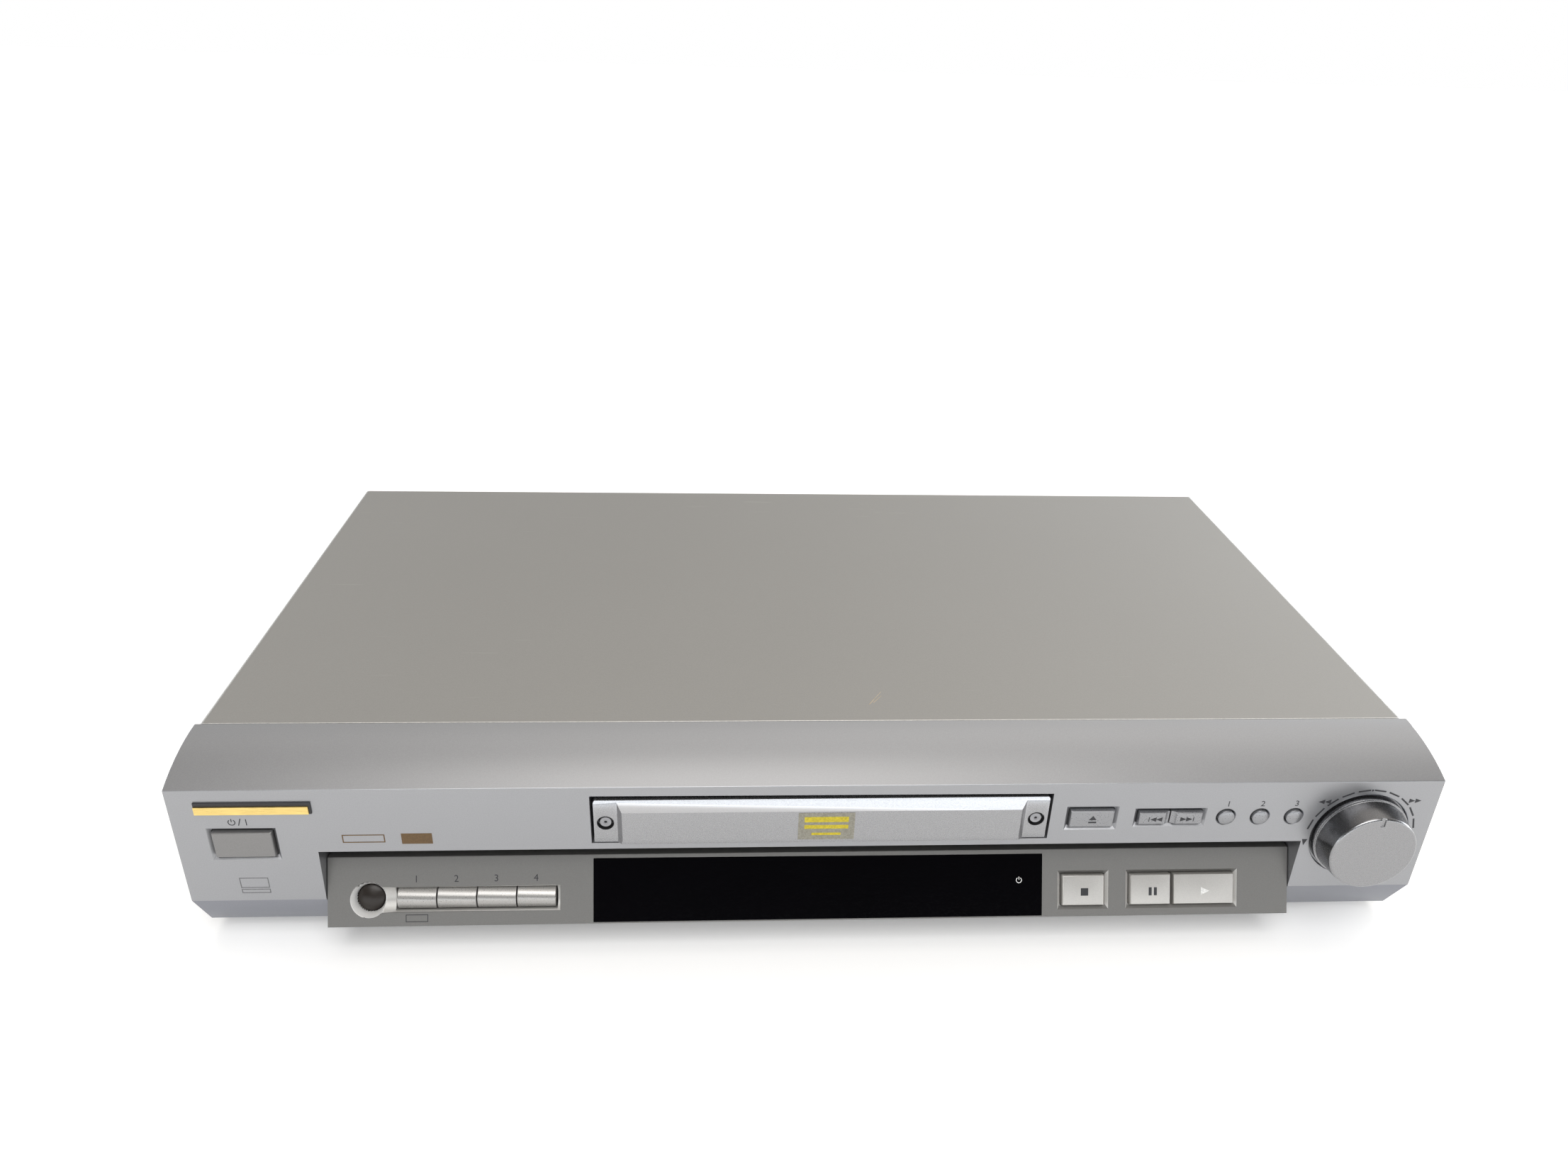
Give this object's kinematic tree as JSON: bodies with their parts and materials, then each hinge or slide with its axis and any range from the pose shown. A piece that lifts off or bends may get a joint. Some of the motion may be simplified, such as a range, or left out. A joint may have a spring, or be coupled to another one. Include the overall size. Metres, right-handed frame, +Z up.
{
  "type": "disc player with tray",
  "caption": "Full-width disc player with a motorised tray, curved brow, tilted control panel with display window, push buttons and a shuttle dial.",
  "frame": {"origin": "on the supporting surface, under the middle of the case's box", "axes": "+X to the right seen from the front, -Y out of the front, +Z up"},
  "size_m": [0.4314, 0.2554, 0.0759],
  "materials": {
    "fascia_silver": "fine metallic paint, satin",
    "door_silver": "fine metallic paint, satin",
    "panel_silver": "warm grey metallic paint, satin",
    "key_silver": "warm light metallic paint, satin",
    "dial_silver": "satin metallic, fine turned lines",
    "dark_key": "dark brown-black, glossy",
    "cover_paint": "fine-textured silver-grey paint",
    "window_black": "smoked, glossy",
    "tube_glass": "clear glass over a dark filament grid",
    "zinc_steel": "zinc-plated sheet",
    "screw_steel": "dark passivated",
    "bright_steel": "bright",
    "board_green": "solder mask",
    "board_dark": "dark solder mask",
    "board_tan": "phenolic board",
    "foot_black": "moulded, matt",
    "inner_black": "moulded, satin",
    "belt_rubber": "matt",
    "bush_rubber": "matt",
    "acetal_white": "moulded, satin",
    "cable_white": "flat cable",
    "jack_nickel": "nickel-plated barrels",
    "core_copper": "varnished core and winding",
    "capacitor_blue": "sleeved",
    "heat_alu": "extruded",
    "die_cast": "die-cast",
    "lens_glass": "coated lens",
    "turntable_grey": "moulded, rubber ring"
  },
  "bodies": {
    "case": {"chassis_pan": "zinc_steel", "rear_panel": "zinc_steel", "top_cover": "cover_paint", "fascia": "fascia_silver", "control_panel": "panel_silver", "display_window": "window_black", "display_tube": "tube_glass", "front_pcb": "board_dark", "console_pcb": "board_dark", "panel_switches": "inner_black", "feet": "foot_black", "case_screws": "screw_steel", "board_screws": "bright_steel", "mains_inlet": "inner_black", "av_jacks": "jack_nickel", "video_sockets": "inner_black", "main_pcb": "board_green", "power_pcb": "board_tan", "mains_transformer": "core_copper", "filter_capacitors": "capacitor_blue", "heat_sink": "heat_alu", "flat_cables": "cable_white", "loader_frame": "inner_black", "loading_motor": "bright_steel", "drive_belt": "belt_rubber", "clamper_bridge": "zinc_steel"},
    "tray": {"disc_tray": "inner_black", "tray_door": "door_silver", "door_screws": "bright_steel"},
    "motor_pulley": {"motor_pulley": "acetal_white"},
    "pulley_gear": {"pulley_gear": "acetal_white"},
    "drive_gear": {"drive_gear": "acetal_white"},
    "slide_cam": {"slide_cam": "acetal_white"},
    "traverse": {"traverse_chassis": "inner_black", "damper_bushes": "bush_rubber", "spindle_motor": "bright_steel", "guide_rods": "bright_steel", "sled_motor": "bright_steel"},
    "turntable": {"turntable": "turntable_grey"},
    "lead_screw": {"lead_screw": "bright_steel"},
    "pickup": {"pickup_sled": "die_cast", "objective_lens": "lens_glass"},
    "clamper": {"clamper": "acetal_white"},
    "power_button": {"power_button": "key_silver"},
    "open_button": {"open_button": "dial_silver"},
    "skip_back_button": {"skip_back_button": "dial_silver"},
    "skip_forward_button": {"skip_forward_button": "dial_silver"},
    "mode_button_1": {"mode_button_1": "dial_silver"},
    "mode_button_2": {"mode_button_2": "dial_silver"},
    "mode_button_3": {"mode_button_3": "dial_silver"},
    "shuttle_dial": {"shuttle_dial": "dial_silver"},
    "memory_button": {"memory_button": "dark_key"},
    "sound_button_1": {"sound_button_1": "key_silver"},
    "sound_button_2": {"sound_button_2": "key_silver"},
    "sound_button_3": {"sound_button_3": "key_silver"},
    "sound_button_4": {"sound_button_4": "key_silver"},
    "stop_button": {"stop_button": "key_silver"},
    "pause_button": {"pause_button": "key_silver"},
    "play_button": {"play_button": "key_silver"}
  },
  "joints": [
    {"name": "tray_slide", "type": "slide", "parent": "case", "child": "tray", "axis": [0, -1, 0], "range_m": [0, 0.142]},
    {"name": "drive_gear_turn", "type": "hinge", "parent": "case", "child": "drive_gear", "pos_m": [-0.045, -0.0663, 0.05], "axis": [0, 0, 1], "range_deg": [0, 680]},
    {"name": "pulley_gear_turn", "type": "hinge", "parent": "case", "child": "pulley_gear", "pos_m": [-0.06197, -0.04933, 0.046], "axis": [0, 0, 1], "range_deg": [-1650, 0]},
    {"name": "motor_pulley_turn", "type": "hinge", "parent": "case", "child": "motor_pulley", "pos_m": [-0.06197, -0.07133, 0.044], "axis": [0, 0, 1], "range_deg": [-3810, 0]},
    {"name": "cam_slide", "type": "slide", "parent": "case", "child": "slide_cam", "axis": [1, 0, 0], "range_m": [0, 0.0121]},
    {"name": "traverse_tilt", "type": "hinge", "parent": "case", "child": "traverse", "pos_m": [0, 0.0507, 0.042], "axis": [1, 0, 0], "range_deg": [0, 3.58]},
    {"name": "turntable_spin", "type": "hinge", "parent": "traverse", "child": "turntable", "pos_m": [0, -0.0373, 0.05], "axis": [0, 0, 1], "continuous": true},
    {"name": "clamper_spin", "type": "hinge", "parent": "case", "child": "clamper", "pos_m": [0, -0.0373, 0.064], "axis": [0, 0, 1], "continuous": true},
    {"name": "pickup_slide", "type": "slide", "parent": "traverse", "child": "pickup", "axis": [0, 1, 0], "range_m": [0, 0.034]},
    {"name": "lead_screw_turn", "type": "hinge", "parent": "traverse", "child": "lead_screw", "pos_m": [0.019, 0.0027, 0.0482], "axis": [0, 1, 0], "range_deg": [0, 4090]},
    {"name": "dial_turn", "type": "hinge", "parent": "case", "child": "shuttle_dial", "pos_m": [0.19, -0.1223, 0.0465], "axis": [0, 1, 0], "range_deg": [-60, 60], "stiffness_Nm_per_rad": 0.02},
    {"name": "power_button_press", "type": "slide", "parent": "case", "child": "power_button", "axis": [0, 1, 0], "range_m": [0, 0.0008], "stiffness_N_per_m": 400},
    {"name": "open_button_press", "type": "slide", "parent": "case", "child": "open_button", "axis": [0, 1, 0], "range_m": [0, 0.0008], "stiffness_N_per_m": 400},
    {"name": "skip_back_button_press", "type": "slide", "parent": "case", "child": "skip_back_button", "axis": [0, 1, 0], "range_m": [0, 0.0008], "stiffness_N_per_m": 400},
    {"name": "skip_forward_button_press", "type": "slide", "parent": "case", "child": "skip_forward_button", "axis": [0, 1, 0], "range_m": [0, 0.0008], "stiffness_N_per_m": 400},
    {"name": "mode_button_1_press", "type": "slide", "parent": "case", "child": "mode_button_1", "axis": [0, 1, 0], "range_m": [0, 0.0008], "stiffness_N_per_m": 400},
    {"name": "mode_button_2_press", "type": "slide", "parent": "case", "child": "mode_button_2", "axis": [0, 1, 0], "range_m": [0, 0.0008], "stiffness_N_per_m": 400},
    {"name": "mode_button_3_press", "type": "slide", "parent": "case", "child": "mode_button_3", "axis": [0, 1, 0], "range_m": [0, 0.0008], "stiffness_N_per_m": 400},
    {"name": "memory_button_press", "type": "slide", "parent": "case", "child": "memory_button", "axis": [0, 0.8965, -0.4431], "range_m": [0, 0.0008], "stiffness_N_per_m": 400},
    {"name": "sound_button_1_press", "type": "slide", "parent": "case", "child": "sound_button_1", "axis": [0, 0.8965, -0.4431], "range_m": [0, 0.0008], "stiffness_N_per_m": 400},
    {"name": "sound_button_2_press", "type": "slide", "parent": "case", "child": "sound_button_2", "axis": [0, 0.8965, -0.4431], "range_m": [0, 0.0008], "stiffness_N_per_m": 400},
    {"name": "sound_button_3_press", "type": "slide", "parent": "case", "child": "sound_button_3", "axis": [0, 0.8965, -0.4431], "range_m": [0, 0.0008], "stiffness_N_per_m": 400},
    {"name": "sound_button_4_press", "type": "slide", "parent": "case", "child": "sound_button_4", "axis": [0, 0.8965, -0.4431], "range_m": [0, 0.0008], "stiffness_N_per_m": 400},
    {"name": "stop_button_press", "type": "slide", "parent": "case", "child": "stop_button", "axis": [0, 0.8965, -0.4431], "range_m": [0, 0.0008], "stiffness_N_per_m": 400},
    {"name": "pause_button_press", "type": "slide", "parent": "case", "child": "pause_button", "axis": [0, 0.8965, -0.4431], "range_m": [0, 0.0008], "stiffness_N_per_m": 400},
    {"name": "play_button_press", "type": "slide", "parent": "case", "child": "play_button", "axis": [0, 0.8965, -0.4431], "range_m": [0, 0.0008], "stiffness_N_per_m": 400}
  ],
  "couplings": [
    {"joint": "drive_gear_turn", "follows": "tray_slide", "rad_per_m": 83.333},
    {"joint": "pulley_gear_turn", "follows": "tray_slide", "rad_per_m": -202.38},
    {"joint": "motor_pulley_turn", "follows": "tray_slide", "rad_per_m": -467.4},
    {"joint": "cam_slide", "follows": "tray_slide", "ratio": 0.084507},
    {"joint": "traverse_tilt", "follows": "tray_slide", "rad_per_m": 0.43841},
    {"joint": "clamper_spin", "follows": "turntable_spin", "ratio": 1},
    {"joint": "lead_screw_turn", "follows": "pickup_slide", "rad_per_m": 2094.4}
  ]
}
